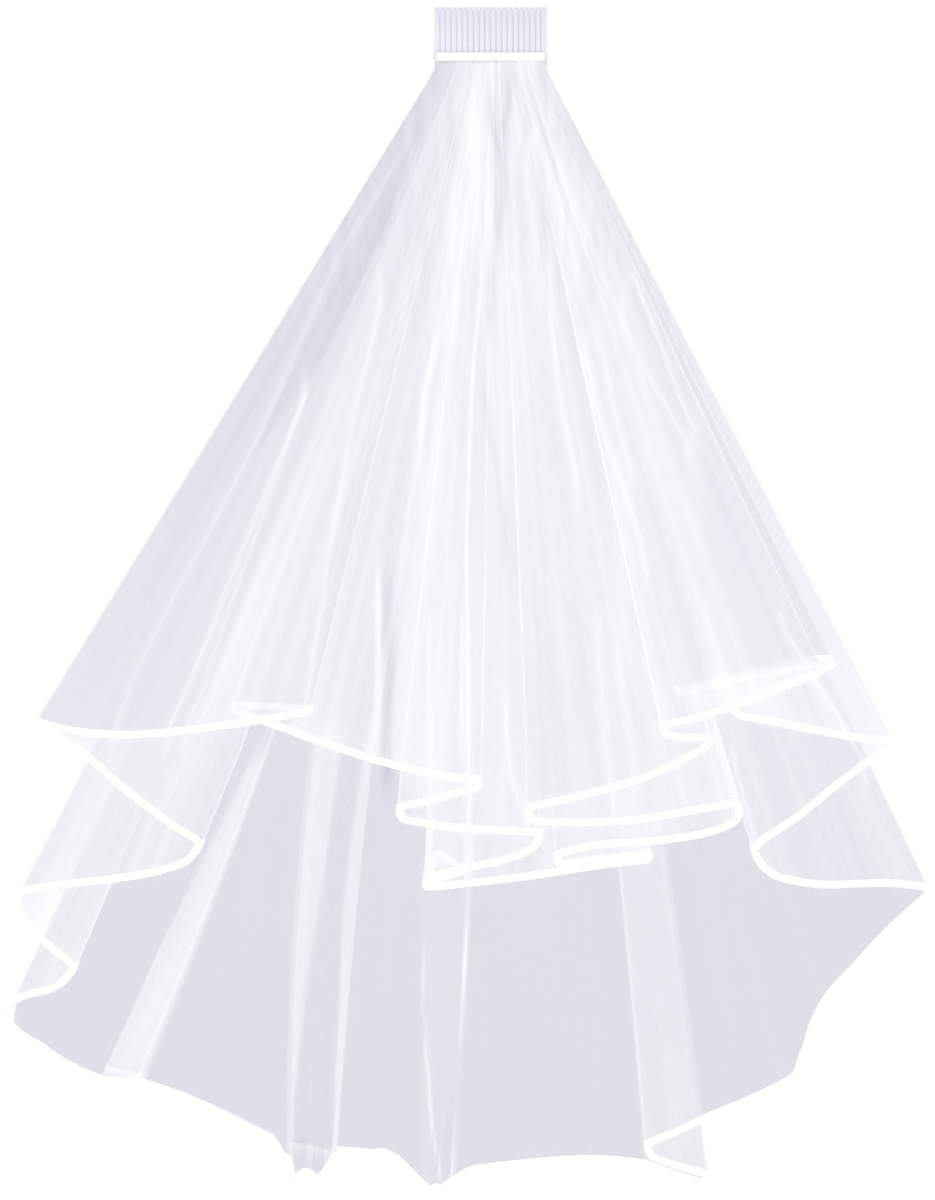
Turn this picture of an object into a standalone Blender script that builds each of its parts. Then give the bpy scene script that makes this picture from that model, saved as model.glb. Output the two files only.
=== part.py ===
"""A two-tier bridal veil, laid flat: ribbon-edged tulle gathered onto a clear plastic comb.

The veil lies on the floor with the comb toward +Y and the hem toward -Y. Sizes below are in
millimetres. A place on the cloth is given by its share, from 0 at the fan's left side to 1 at its
right, and by its drop below the seam at the head.
"""
import bpy
import bmesh
import numpy as np
from math import cos, hypot, pi, sin

MM = 0.001

# Cloth
WALL = 1.0
LAYER_GAP = 0.3
SEAM_GAP = 0.3
RIBBON_WIDTH = 5.2
LEAST_ACROSS = 0.5
FOLD_REACH = 0.65
FOLD_STEPS = 4
DRAPE_SLOPE = 0.5

# Fan, as it spreads from the gathered head
HEAD_HALF = 37.2
HEAD_DROP = 8.0
LEFT_SPREAD = 0.614
RIGHT_SPREAD = 0.519

# Rows of points down the cloth that every layer shares
SHARED_DROPS = (3.0, 14.0, 50.0, 120.0, 240.0, 390.0)
SHARE_STEPS = 22
CLOSEST_SHARES = 0.006
SAME_SHARE = 1e-5

# Below the upper tier the lower tier's pleats lean. Each row is a pleat line.
LEAN_FROM = 455.0
LEAN_TO = 735.0
LEAN = np.array([
    # share above, share at the hem
    (0.000, 0.000),
    (0.170, 0.170),
    (0.267, 0.227),
    (0.287, 0.257),
    (0.330, 0.388),
    (0.402, 0.423),
    (0.480, 0.490),
    (0.520, 0.510),
    (0.669, 0.655),
    (0.720, 0.700),
    (0.800, 0.800),
    (1.000, 1.000),
])

# Soft gathers that all the layers share
GATHER_WAVES = 11
GATHER_DRIFT = 0.016
GATHER_DRIFT_WAVES = 2.3
GATHER_DRIFT_START = 0.7
GATHER_HEIGHT = 3.0
GATHER_GROWTH = 0.018
GATHER_FLAT = 0.3

# The hem. Each row is a point where the hem turns or bends: its x from the comb's middle, its
# drop, how far the hem bows down, early and late, on its way there from the row above, and how
# round the turn is: how far the hem drops beside it on the way on, and rises on the way there.
UPPER_HEM = (
    # x, drop, early, late, round
    (-306.5, 448.2, 0.0, 0.0, -2.0),
    (-120.3, 439.5, 11.3, 8.0, -1.0),
    (-172.5, 437.5, 0.0, 0.0, 2.0),
    (-6.4, 488.4, 3.1, 5.9, 3.0),
    (-62.6, 507.9, -0.5, 0.5, 4.0),
    (33.8, 524.6, 2.0, 1.9, 4.0),
    (-41.0, 551.0, 3.8, 1.7, 0.0),
    (-34.5, 535.0, 0.0, 0.0, 0.0),
    (-18.0, 547.0, 0.0, 0.0, 0.0),
    (-44.6, 556.1, 0.0, 0.0, 1.5),
    (107.5, 536.7, 1.9, 0.7, -2.0),
    (43.2, 540.0, 0.0, 0.0, -3.0),
    (168.5, 505.2, 0.0, 5.6, -5.0),
    (23.8, 508.5, 4.9, 5.8, -4.0),
    (147.7, 459.0, 4.4, 5.7, -2.0),
    (114.9, 452.9, 1.0, 1.0, -3.0),
    (222.1, 410.7, 1.9, 1.2, -2.0),
    (124.3, 426.8, -0.8, -1.0, -1.5),
    (230.5, 406.7, -0.9, -2.3, 2.0),
    (161.8, 438.9, -0.5, 0.3, 4.0),
    (272.3, 461.6, 0.3, 1.7, 1.5),
)
RIGHT_HEM = (
    (295.1, 560.1, 0.0, 0.0, -1.5),
    (177.2, 538.0, 0.8, 5.5, -8.0),
    (272.3, 461.6, -0.8, -3.7, -1.5),
)
LEFT_HEM = (
    (-323.9, 641.2, 0.0, 0.0, -6.0),
    (-279.7, 614.4, -0.6, 2.4, -4.0),
    (-319.3, 566.8, 1.0, 0.2, -5.0),
    (-195.3, 532.6, 0.4, 3.6, -6.0),
    (-306.5, 448.2, 0.9, -4.8, -2.0),
)
LOWER_HEM = (
    (-323.9, 641.2, 0.0, 0.0, 6.0),
    (-236.8, 686.8, 7.2, 6.3, -2.0),
    (-259.6, 680.1, 0.0, 0.0, 2.0),
    (-148.4, 724.3, -11.0, -10.5, 0.0),
    (-120.3, 753.8, 18.2, 5.6, 0.0),
    (-103.5, 738.3, 4.5, 4.5, -1.0),
    (-134.3, 731.6, 0.0, 0.0, 1.0),
    (-77.4, 736.3, -1.4, -1.4, 0.0),
    (-36.5, 758.8, -2.4, 4.8, 0.0),
    (-6.4, 746.4, 4.2, 0.3, 0.0),
    (102.2, 743.0, -3.5, -4.1, 0.0),
    (146.4, 753.8, 0.0, 0.0, -4.0),
    (104.2, 733.7, 0.0, 0.0, -4.0),
    (206.7, 682.7, 2.7, 3.4, 0.0),
    (244.9, 611.0, -11.5, -9.2, 0.0),
    (295.1, 560.1, -2.2, -2.5, -1.5),
)
TURN_ASPECT = 1.6

# How the runs between two turns lie on one another, lowest first, by their order along the hem
LOWER_STACK = (4, 5, 6, 3, 2, 1, 0)
UPPER_STACK = (8, 7, 6, 5, 4, 3, 2, 1, 0, 9, 10, 11, 12, 13, 18, 17, 16, 15, 14)

# Rows of each stretch between the last shared drop and its ribbon
UPPER_ROWS = 2
FALL_ROWS = 2
LOWER_ROWS = 4

# Comb and gather band
COMB_WIDTH = 75.0
COMB_THICK = 2.4
SPINE_DEPTH = 5.4
TOOTH_COUNT = 20
TOOTH_LENGTH = 31.0
TOOTH_WIDTH = 3.1
END_TOOTH_WIDTH = 3.5
TIP_SHARE = 0.5
TIP_LENGTH = 3.0
BAND_WIDTH = 72.5
BAND_DEPTH = 5.4
BAND_HEIGHT = 5.0
BAND_ROUND = 1.6


# Fan

def fan_sides(drop):
    spread = max(drop - HEAD_DROP, 0.0)
    return -HEAD_HALF - LEFT_SPREAD * spread, HEAD_HALF + RIGHT_SPREAD * spread


def leaning_lines(drop):
    amount = min(max((drop - LEAN_FROM) / (LEAN_TO - LEAN_FROM), 0.0), 1.0)
    return LEAN[:, 0] + (LEAN[:, 1] - LEAN[:, 0]) * amount


def place_x(share, drop):
    left, right = fan_sides(drop)
    return left + (right - left) * float(np.interp(share, LEAN[:, 0], leaning_lines(drop)))


def share_at(x, drop):
    left, right = fan_sides(drop)
    return float(np.interp((x - left) / (right - left), leaning_lines(drop), LEAN[:, 0]))


def gather_wave(share, drop):
    drift = GATHER_DRIFT * sin(2 * pi * GATHER_DRIFT_WAVES * share + GATHER_DRIFT_START)
    turns = GATHER_WAVES * (share + drift)
    swell = 0.5 - 0.5 * cos(2 * pi * turns)
    height = min(GATHER_HEIGHT, GATHER_GROWTH * max(drop - HEAD_DROP, 0.0))
    return height * max(swell - GATHER_FLAT, 0.0) / (1.0 - GATHER_FLAT)


# Hem runs: stretches of the hem between two folds

def hem_shares(hem):
    return [share_at(row[0], row[1]) for row in hem]


def common_shares(hems):
    fixed = sorted(share for hem in hems for share in hem_shares(hem))
    shares = []
    for share in fixed:
        if not shares or share - shares[-1] > SAME_SHARE:
            shares.append(share)
    for share in np.linspace(0.0, 1.0, SHARE_STEPS + 1):
        if min(abs(share - other) for other in fixed) > CLOSEST_SHARES:
            shares.append(float(share))
    return np.array(sorted(shares))


def bow(part, early, late):
    """A cubic that is zero at both ends, early a third of the way along and late at two thirds."""
    return 13.5 * part * (1 - part) * (early * (2 / 3 - part) + late * (part - 1 / 3))


def turn_offset(apart, round_by):
    """How far a rounded turn moves the hem down, at a distance across from the turn."""
    if round_by == 0.0:
        return 0.0
    part = min(abs(apart) / (TURN_ASPECT * abs(round_by)), 1.0)
    return round_by * (1 - (1 - part) ** 2) ** 0.5


def hem_runs(hem, shares):
    """Splits a hem table into runs. A run has its direction, its stations and its drop at each."""
    turns = hem_shares(hem)
    runs = []
    for row in range(1, len(hem)):
        start, end = turns[row - 1], turns[row]
        way = 1 if end > start else -1
        low, high = min(start, end) - SAME_SHARE, max(start, end) + SAME_SHARE
        stations = [i for i, share in enumerate(shares) if low <= share <= high][::way]
        drops = []
        for i in stations:
            part = (shares[i] - start) / (end - start)
            drop = hem[row - 1][1] + (hem[row][1] - hem[row - 1][1]) * part
            drop += bow(part, hem[row][2], hem[row][3])
            x = place_x(shares[i], drop)
            drop += (1 - part) * turn_offset(x - hem[row - 1][0], hem[row - 1][4])
            drop -= part * turn_offset(x - hem[row][0], hem[row][4])
            drops.append(drop)
        if runs and runs[-1]["way"] == way:
            runs[-1]["stations"] += stations[1:]
            runs[-1]["drops"] += drops[1:]
        else:
            runs.append({"way": way, "stations": stations, "drops": drops})
    return runs


def stack_runs(order, shares):
    """Lays the runs one on another, lowest first, and gives each its heights at the shared drops."""
    for run in order:
        run["levels"] = []
    for drop in SHARED_DROPS:
        places = np.array([place_x(share, drop) for share in shares])
        apart = np.abs(places[:, None] - places[None, :])
        apart = np.maximum(apart - 2 * FOLD_REACH, 0.0)
        free = np.zeros(len(shares))
        for run in order:
            draped = (free[None, :] - DRAPE_SLOPE * apart).max(axis=1)
            level = draped[run["stations"]] + WALL / 2
            free[run["stations"]] = level + WALL / 2 + LAYER_GAP
            run["levels"].append(level)
    for run in order:
        run["levels"] = np.array(run["levels"]).T


# Cloth walls

def set_ribbons(order, shares):
    """Finds how far above the hem the ribbon's upper edge lies at each station of the runs."""
    for run in order:
        points = [(place_x(shares[i], drop), drop) for i, drop in zip(run["stations"], run["drops"])]
        run["ribbons"] = []
        for k, (x, drop) in enumerate(points):
            before = points[max(k - 1, 0)]
            after = points[min(k + 1, len(points) - 1)]
            along_x, along_drop = after[0] - before[0], after[1] - before[1]
            share = shares[run["stations"][k]]
            lean = place_x(share, drop) - place_x(share, drop - 1.0)
            across = abs(along_x - along_drop * lean) / hypot(along_x, along_drop)
            run["ribbons"].append(RIBBON_WIDTH / max(across, LEAST_ACROSS))
        run["ribbons"][0] = run["ribbons"][-1] = RIBBON_WIDTH


def reverse_run(run):
    """The same run, followed the other way."""
    turned = {key: run[key][::-1] for key in ("stations", "drops", "ribbons", "levels")}
    turned["way"] = -run["way"]
    return turned


def row_drops(hem_drop, ribbon, rows):
    """Drops of the points at one station: the tulle's own, or with no rows the ribbon's two."""
    if rows == 0:
        return [hem_drop - ribbon + SEAM_GAP, hem_drop]
    drops = list(SHARED_DROPS)
    if rows == LOWER_ROWS:
        drops.append(LEAN_FROM)
    steps = len(SHARED_DROPS) + rows - len(drops)
    step = (hem_drop - ribbon - drops[-1]) / steps
    return drops + [drops[-1] + step * (k + 1) for k in range(steps)]


def row_levels(levels, rows):
    """The heights that go with row_drops: below the last shared drop they stay the same."""
    if rows == 0:
        return [levels[-1]] * 2
    return list(levels) + [levels[-1]] * rows


def station_points(run, k, shares, rows, shift=0.0):
    """Centre points down the cloth at a run's station: x, drop, z and the wall's direction."""
    share = shares[run["stations"][k]]
    drops = row_drops(run["drops"][k], run["ribbons"][k], rows)
    points = []
    for drop, level in zip(drops, row_levels(run["levels"][k], rows)):
        z = level + gather_wave(share, drop)
        points.append((place_x(share, drop) + shift, drop, z, 0.0, run["way"]))
    return points


def run_columns(run, shares, rows, start_gap, end_gap):
    last = len(run["stations"]) - 1
    columns = []
    for k in range(last + 1):
        shift = 0.0
        if k == 0:
            shift = run["way"] * start_gap
        if k == last:
            shift = -run["way"] * end_gap
        columns.append(station_points(run, k, shares, rows, shift))
    return columns


def fold_columns(before, after, shares, rows):
    """The half turn round a fold line, from the end of one run to the start of the next."""
    side = before["way"]
    share = shares[before["stations"][-1]]
    drops = row_drops(before["drops"][-1], before["ribbons"][-1], rows)
    starts = row_levels(before["levels"][-1], rows)
    ends = row_levels(after["levels"][0], rows)
    columns = []
    for step in range(1, FOLD_STEPS):
        angle = pi * step / FOLD_STEPS
        points = []
        for drop, start, end in zip(drops, starts, ends):
            x = place_x(share, drop) + side * FOLD_REACH * sin(angle)
            wave = float(np.interp(share_at(x, drop), shares, [gather_wave(s, drop) for s in shares]))
            z = (start + end) / 2 - (end - start) / 2 * cos(angle) + wave
            upward = 1 if end > start else -1
            points.append((x, drop, z, -upward * sin(angle), side * cos(angle)))
        columns.append(points)
    return columns


def wall_mesh(name, columns):
    """A closed wall about the columns of centre points."""
    verts = []
    for points in columns:
        for x, drop, z, across, up in points:
            for face in (0.5, -0.5):
                thick = WALL * face
                verts.append(((x + across * thick) * MM, -drop * MM, (z + up * thick) * MM))
    rows = len(columns[0])

    def at(column, row, side):
        return (column * rows + row) * 2 + side

    faces = []
    for c in range(len(columns) - 1):
        leftward = columns[c + 1][0][0] < columns[c][0][0]
        for r in range(rows - 1):
            for side in (0, 1):
                a, b = at(c, r, side), at(c + 1, r, side)
                d, e = at(c, r + 1, side), at(c + 1, r + 1, side)
                pair = [(a, d, b), (d, e, b)] if leftward else [(a, d, e), (a, e, b)]
                faces += [tri[::-1] for tri in pair] if side else pair
        faces.append((at(c, 0, 1), at(c, 0, 0), at(c + 1, 0, 0), at(c + 1, 0, 1)))
        end = rows - 1
        faces.append((at(c, end, 0), at(c, end, 1), at(c + 1, end, 1), at(c + 1, end, 0)))
    last = len(columns) - 1
    for r in range(rows - 1):
        faces.append((at(0, r, 0), at(0, r, 1), at(0, r + 1, 1), at(0, r + 1, 0)))
        faces.append((at(last, r, 1), at(last, r, 0), at(last, r + 1, 0), at(last, r + 1, 1)))
    mesh = bpy.data.meshes.new(name)
    mesh.from_pydata(verts, [], faces)
    mesh.update()
    return mesh


def add_stretch(name, runs, before, after, shares, rows, material):
    """One stretch of the cloth. A run before or after it is joined on by a fold."""
    columns = []
    if before:
        columns.append(station_points(before, -1, shares, rows))
        columns += fold_columns(before, runs[0], shares, rows)
    for k, run in enumerate(runs):
        start_gap = 0.0 if k or before else SEAM_GAP
        end_gap = 0.0 if k < len(runs) - 1 or after else SEAM_GAP
        columns += run_columns(run, shares, rows, start_gap, end_gap)
        if k < len(runs) - 1:
            columns += fold_columns(run, runs[k + 1], shares, rows)
    if after:
        columns += fold_columns(runs[-1], after, shares, rows)
        columns.append(station_points(after, 0, shares, rows))
    return add_piece(name, wall_mesh(name, columns), material)


# Comb and band

def comb_outline():
    """The comb's outline from above: a spine along the band, and teeth up from it."""
    half = COMB_WIDTH / 2
    spine = SPINE_DEPTH / 2
    pitch = (COMB_WIDTH - END_TOOTH_WIDTH) / (TOOTH_COUNT - 1)
    points = [(-half, -spine), (half, -spine)]
    for tooth in reversed(range(TOOTH_COUNT)):
        at_end = tooth in (0, TOOTH_COUNT - 1)
        width = END_TOOTH_WIDTH if at_end else TOOTH_WIDTH
        middle = -half + END_TOOTH_WIDTH / 2 + pitch * tooth
        top = spine + TOOTH_LENGTH
        tip = width / 2 * TIP_SHARE
        points.append((middle + width / 2, spine))
        points.append((middle + width / 2, top - TIP_LENGTH))
        points.append((middle + tip, top))
        points.append((middle - tip, top))
        points.append((middle - width / 2, top - TIP_LENGTH))
        points.append((middle - width / 2, spine))
    return points


def extruded_mesh(name, outline, bottom, top):
    mesh = bpy.data.meshes.new(name)
    shape = bmesh.new()
    base = [shape.verts.new((x * MM, y * MM, bottom * MM)) for x, y in outline]
    face = shape.faces.new(base)
    raised = bmesh.ops.extrude_face_region(shape, geom=[face])["geom"]
    moved = [item for item in raised if isinstance(item, bmesh.types.BMVert)]
    bmesh.ops.translate(shape, vec=(0, 0, (top - bottom) * MM), verts=moved)
    bmesh.ops.recalc_face_normals(shape, faces=shape.faces)
    shape.to_mesh(mesh)
    shape.free()
    return mesh


def band_mesh(name):
    half_x, half_y = BAND_WIDTH / 2, BAND_DEPTH / 2
    outline = [(-half_x, -half_y), (half_x, -half_y), (half_x, half_y), (-half_x, half_y)]
    bottom = COMB_THICK + SEAM_GAP
    mesh = extruded_mesh(name, outline, bottom, bottom + BAND_HEIGHT)
    shape = bmesh.new()
    shape.from_mesh(mesh)
    bmesh.ops.bevel(shape, geom=shape.edges, offset=BAND_ROUND * MM, segments=3, affect="EDGES")
    shape.to_mesh(mesh)
    shape.free()
    return mesh


# Scene

def plain_material(name, colour, roughness, alpha):
    material = bpy.data.materials.new(name)
    material.use_nodes = True
    shader = material.node_tree.nodes["Principled BSDF"]
    shader.inputs["Base Color"].default_value = (*colour, 1.0)
    shader.inputs["Roughness"].default_value = roughness
    shader.inputs["Metallic"].default_value = 0.0
    shader.inputs["Alpha"].default_value = alpha
    return material


def add_piece(name, mesh, material):
    piece = bpy.data.objects.new(name, mesh)
    mesh.materials.append(material)
    bpy.context.scene.collection.objects.link(piece)
    return piece


def set_origin_under(pieces):
    """Moves all the pieces so that the origin is on the floor under the middle of the veil."""
    points = np.array([vertex.co for piece in pieces for vertex in piece.data.vertices])
    low, high = points.min(axis=0), points.max(axis=0)
    for piece in pieces:
        piece.location = (-(low[0] + high[0]) / 2, -(low[1] + high[1]) / 2, -low[2])


def build_veil():
    tulle = plain_material("tulle", (0.86, 0.85, 0.90), 0.7, 0.5)
    satin = plain_material("satin_ribbon", (0.97, 0.97, 0.98), 0.35, 1.0)
    clear = plain_material("clear_comb", (0.80, 0.79, 0.86), 0.2, 0.6)

    shares = common_shares((UPPER_HEM, RIGHT_HEM, LEFT_HEM, LOWER_HEM))
    upper = hem_runs(UPPER_HEM, shares)
    right = hem_runs(RIGHT_HEM, shares)
    left = hem_runs(LEFT_HEM, shares)
    lower = hem_runs(LOWER_HEM, shares)
    order = [lower[i] for i in LOWER_STACK] + left + right + [upper[i] for i in UPPER_STACK]
    stack_runs(order, shares)
    set_ribbons(order, shares)

    stretches = (
        # tulle, ribbon, runs, run before, run after, rows
        ("lower_tier", "lower_ribbon", lower, None, None, LOWER_ROWS),
        ("left_fall", "left_ribbon", left, reverse_run(lower[0]), None, FALL_ROWS),
        ("right_fall", "right_ribbon", right, lower[-1], None, FALL_ROWS),
        ("upper_tier", "upper_ribbon", upper, left[-1], reverse_run(right[-1]), UPPER_ROWS),
    )
    pieces = []
    for cloth_name, ribbon_name, runs, before, after, rows in stretches:
        pieces.append(add_stretch(cloth_name, runs, before, after, shares, rows, tulle))
        pieces.append(add_stretch(ribbon_name, runs, before, after, shares, 0, satin))
    comb = extruded_mesh("comb", comb_outline(), 0.0, COMB_THICK)
    pieces.append(add_piece("comb", comb, clear))
    pieces.append(add_piece("gather_band", band_mesh("gather_band"), satin))
    set_origin_under(pieces)


for old in list(bpy.data.objects):
    bpy.data.objects.remove(old, do_unlink=True)
build_veil()
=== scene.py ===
"""A two-tier bridal veil of white tulle, edged with satin ribbon and gathered onto a clear comb.

The veil lies flat on a pale floor with the comb away from the hem. Lengths are in millimetres
until a mesh is made. Down the cloth, a place is its drop below the seam, and across the fan it is
its share, from 0 at the left side to 1 at the right.
"""
import bpy
import numpy as np
from math import cos, pi, sin
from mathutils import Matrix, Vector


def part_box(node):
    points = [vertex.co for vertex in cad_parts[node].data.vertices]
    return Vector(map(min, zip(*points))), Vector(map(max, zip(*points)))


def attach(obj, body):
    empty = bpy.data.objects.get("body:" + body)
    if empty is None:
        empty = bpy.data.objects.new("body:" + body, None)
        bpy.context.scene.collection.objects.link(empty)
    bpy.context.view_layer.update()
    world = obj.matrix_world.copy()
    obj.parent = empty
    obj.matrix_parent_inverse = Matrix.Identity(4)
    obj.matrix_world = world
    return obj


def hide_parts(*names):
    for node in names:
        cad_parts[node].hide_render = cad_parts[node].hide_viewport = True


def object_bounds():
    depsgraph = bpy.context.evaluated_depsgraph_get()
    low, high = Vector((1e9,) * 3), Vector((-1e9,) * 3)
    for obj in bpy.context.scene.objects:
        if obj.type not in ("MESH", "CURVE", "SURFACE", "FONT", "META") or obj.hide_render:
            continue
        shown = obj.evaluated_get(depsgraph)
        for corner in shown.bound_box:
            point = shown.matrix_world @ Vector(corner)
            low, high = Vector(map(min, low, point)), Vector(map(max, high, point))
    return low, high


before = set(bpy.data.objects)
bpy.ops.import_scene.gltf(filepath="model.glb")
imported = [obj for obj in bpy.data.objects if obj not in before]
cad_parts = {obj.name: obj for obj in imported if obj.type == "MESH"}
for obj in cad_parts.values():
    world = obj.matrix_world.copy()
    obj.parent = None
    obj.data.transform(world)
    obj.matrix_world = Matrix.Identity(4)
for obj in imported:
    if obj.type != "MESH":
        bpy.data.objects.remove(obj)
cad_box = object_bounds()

MM = 0.001
comb_low, comb_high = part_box("comb")
COMB_SPINE_DEPTH = 5.4
COMB_THICK = 2.4
COMB_X = (comb_low[0] + comb_high[0]) / 2 / MM
SEAM_Y = comb_low[1] / MM + COMB_SPINE_DEPTH / 2
COMB_WIDTH = (comb_high[0] - comb_low[0]) / MM
TOOTH_COUNT = 20
TOOTH_LENGTH = 31.0
TOOTH_WIDTH = 3.1
END_TOOTH_WIDTH = 3.5
TOOTH_THICK = 0.92 * COMB_THICK
TIP_FROM = 0.95
TOOTH_PAINTED_SHADE = 0.9
END_TOOTH_PAINTED_SHADE = 0.5
TOOTH_PITCH = (COMB_WIDTH - END_TOOTH_WIDTH) / (TOOTH_COUNT - 1)
FIRST_TOOTH = -COMB_WIDTH / 2 + END_TOOTH_WIDTH / 2


def room_places(points):
    """Points in millimetres about the comb's middle and the seam, as places in the room."""
    return [((x + COMB_X) * MM, (y + SEAM_Y) * MM, z * MM) for x, y, z in points]


def link_piece(name, mesh):
    mesh.polygons.foreach_set("use_smooth", [True] * len(mesh.polygons))
    piece = bpy.data.objects.new(name, mesh)
    bpy.context.scene.collection.objects.link(piece)
    return piece


def link_mesh(name, verts, faces):
    mesh = bpy.data.meshes.new(name)
    mesh.from_pydata(room_places(verts), [], faces)
    mesh.update()
    return link_piece(name, mesh)


def add_number(piece, name, values):
    attribute = piece.data.attributes.new(name, "FLOAT", "POINT")
    attribute.data.foreach_set("value", np.asarray(values, dtype=np.float32).ravel())


def new_material(name):
    material = bpy.data.materials.new(name)
    material.use_nodes = True
    nodes, links = material.node_tree.nodes, material.node_tree.links
    return material, nodes, links, nodes["Principled BSDF"]


def tooth_shape():
    """One tooth, flat with rounded edges, tapered to a blunt tip, as rings along its length."""
    rings = (
        # part of the length, part of the width, part of the thickness
        (-0.04, 1.05, 0.98),
        (0.00, 1.02, 0.98),
        (0.10, 1.00, 0.96),
        (0.55, 0.99, 0.92),
        (0.92, 0.96, 0.82),
        (0.98, 0.84, 0.66),
        (1.00, 0.60, 0.30),
    )
    corner = ((0.50, 0.26), (0.47, 0.40), (0.41, 0.47), (0.32, 0.50))
    section = list(corner)
    section += [(-x, z) for x, z in reversed(corner)]
    section += [(-x, -z) for x, z in corner]
    section += [(x, -z) for x, z in reversed(corner)]
    verts, faces = [], []
    for length, width, thick in rings:
        for x, z in section:
            verts.append((x * width, length, z * thick))
    count = len(section)
    for ring in range(len(rings) - 1):
        for k in range(count):
            a = ring * count + k
            b = ring * count + (k + 1) % count
            faces.append((a, a + count, b + count, b))
    faces.append(tuple(range(count)))
    faces.append(tuple(reversed(range((len(rings) - 1) * count, len(rings) * count))))
    return verts, faces


def rounded_bar(width, depth, low, high, round_by, puckers=0, pucker_height=0.0):
    """A bar along X with rounded edges, closed at both ends, and puckered along its length if asked."""
    steps = 5
    rings_a_pucker = 6
    section = []
    for corner, (side_y, side_z) in enumerate(((1, 1), (-1, 1), (-1, -1), (1, -1))):
        for k in range(steps):
            angle = pi / 2 * (corner + k / (steps - 1))
            y = side_y * (depth / 2 - round_by) + round_by * cos(angle)
            z = side_z * ((high - low) / 2 - round_by) + round_by * sin(angle)
            section.append((y, z))
    count = len(section)
    inner = np.linspace(-0.485, 0.485, max(puckers * rings_a_pucker, 1) + 1)
    rings = [(-0.5, 0.72), (-0.494, 0.9)]
    for place in inner:
        uneven = 1.3 * sin(9 * place)
        rings.append((place, 1.0 + pucker_height * sin(2 * pi * puckers * place + uneven)))
    rings += [(0.494, 0.9), (0.5, 0.72)]
    verts, faces = [], []
    for place, grow in rings:
        for y, z in section:
            verts.append((place * width, y * grow, (high + low) / 2 + z * grow))
    for ring in range(len(rings) - 1):
        for k in range(count):
            a = ring * count + k
            b = ring * count + (k + 1) % count
            faces.append((a, b, b + count, a + count))
    faces.append(tuple(reversed(range(count))))
    faces.append(tuple(range((len(rings) - 1) * count, len(rings) * count)))
    return verts, faces


comb_verts, comb_faces = rounded_bar(COMB_WIDTH, COMB_SPINE_DEPTH, 0.0, COMB_THICK, 0.7)
comb_painted_shade = [0.0] * len(comb_verts)
for tooth in range(TOOTH_COUNT):
    at_end = tooth in (0, TOOTH_COUNT - 1)
    width = END_TOOTH_WIDTH if at_end else TOOTH_WIDTH
    start = len(comb_verts)
    tooth_verts, tooth_faces = tooth_shape()
    for x, y, z in tooth_verts:
        comb_verts.append((
            FIRST_TOOTH + TOOTH_PITCH * tooth + x * width,
            COMB_SPINE_DEPTH / 2 + y * TOOTH_LENGTH,
            COMB_THICK / 2 + z * TOOTH_THICK,
        ))
        # Painted shade: each tooth grows darker towards its tip and is darkest at the tip, and the end
        # teeth are darker all along, for the dark edges of the clear plastic
        comb_painted_shade.append(1.0 if y > TIP_FROM else max(TOOTH_PAINTED_SHADE * y, END_TOOTH_PAINTED_SHADE * at_end))
    comb_faces += [tuple(start + i for i in face) for face in tooth_faces]
comb = link_mesh("clear_comb", comb_verts, comb_faces)
add_number(comb, "shade", comb_painted_shade)

comb_plastic, nodes, links, shader = new_material("frosted_clear_plastic")
shader.inputs["Roughness"].default_value = 0.30
shader.inputs["IOR"].default_value = 1.49
shader.inputs["Coat Weight"].default_value = 0.2
shader.inputs["Alpha"].default_value = 0.8
places = nodes.new("ShaderNodeTexCoord")
cloudy = nodes.new("ShaderNodeTexNoise")
cloudy.inputs["Scale"].default_value = 60.0
cloudy.inputs["Detail"].default_value = 3.0
tint = nodes.new("ShaderNodeValToRGB")
tint.color_ramp.elements[0].position = 0.3
tint.color_ramp.elements[0].color = (0.825, 0.815, 0.885, 1)
tint.color_ramp.elements[1].position = 0.7
tint.color_ramp.elements[1].color = (0.855, 0.845, 0.905, 1)
links.new(places.outputs["Object"], cloudy.inputs["Vector"])
links.new(cloudy.outputs["Fac"], tint.inputs["Fac"])
# The shade number multiplies the plastic darker, as painted shade at the tooth tips and on the end
# teeth
shade = nodes.new("ShaderNodeAttribute")
shade.attribute_name = "shade"
shaded = nodes.new("ShaderNodeMixRGB")
shaded.blend_type = "MULTIPLY"
shaded.inputs["Color2"].default_value = (0.86, 0.86, 0.90, 1)
links.new(shade.outputs["Fac"], shaded.inputs["Fac"])
links.new(tint.outputs["Color"], shaded.inputs["Color1"])
links.new(shaded.outputs["Color"], shader.inputs["Base Color"])
frosted = nodes.new("ShaderNodeBump")
frosted.inputs["Strength"].default_value = 0.06
frosted.inputs["Distance"].default_value = 0.0003
grain = nodes.new("ShaderNodeTexNoise")
grain.inputs["Scale"].default_value = 900.0
links.new(places.outputs["Object"], grain.inputs["Vector"])
links.new(grain.outputs["Fac"], frosted.inputs["Height"])
links.new(frosted.outputs["Normal"], shader.inputs["Normal"])
comb.data.materials.append(comb_plastic)
comb.visible_shadow = False
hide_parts("comb")
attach(comb, "root")

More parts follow.
